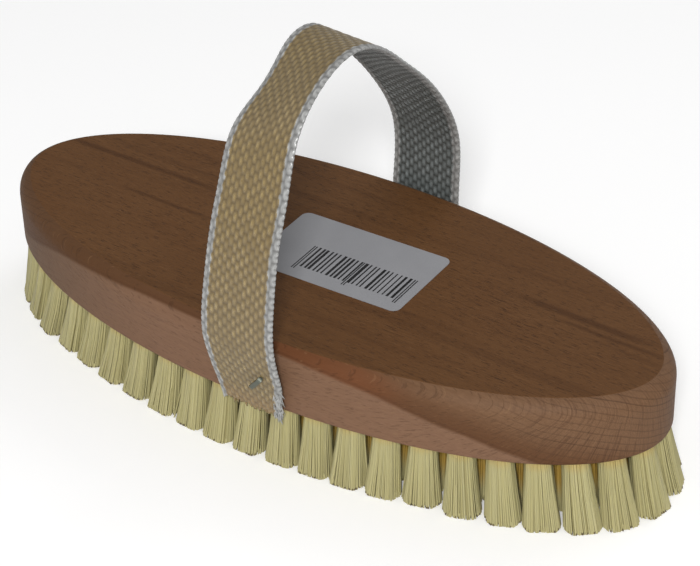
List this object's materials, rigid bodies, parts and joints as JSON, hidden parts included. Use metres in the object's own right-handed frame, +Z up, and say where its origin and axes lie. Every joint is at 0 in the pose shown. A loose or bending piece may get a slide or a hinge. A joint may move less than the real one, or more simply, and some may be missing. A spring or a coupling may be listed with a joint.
{
  "type": "palm brush",
  "caption": "Oval wooden palm scrubbing brush with a webbing hand strap stapled over its back and a field of stiff cream bristle tufts.",
  "frame": {"origin": "in the plane of the cut bristle tips, on the tip of the middle tuft, under the centre of the wooden block", "axes": "+X along the block's length, +Y across it from the nearer, outward leaning end of the strap to the other, +Z up through the block's back"},
  "size_m": [0.205, 0.0926, 0.1047],
  "materials": {
    "beech_wood": "sanded and oiled",
    "bristle": "stiff cream synthetic filament",
    "webbing": "woven polypropylene webbing, gold face and white selvedges",
    "staple_steel": "dull bare wire",
    "anchor_steel": "flat tinned wire",
    "label_film": "white printed film"
  },
  "bodies": {
    "root": {"block": "beech_wood", "tufts_outer_ring": "bristle", "tufts_second_ring": "bristle", "tufts_third_ring": "bristle", "tufts_inner_rows": "bristle", "tuft_anchors": "anchor_steel", "strap": "webbing", "strap_staple_near": "staple_steel", "strap_staple_far": "staple_steel", "label": "label_film"}
  },
  "joints": []
}
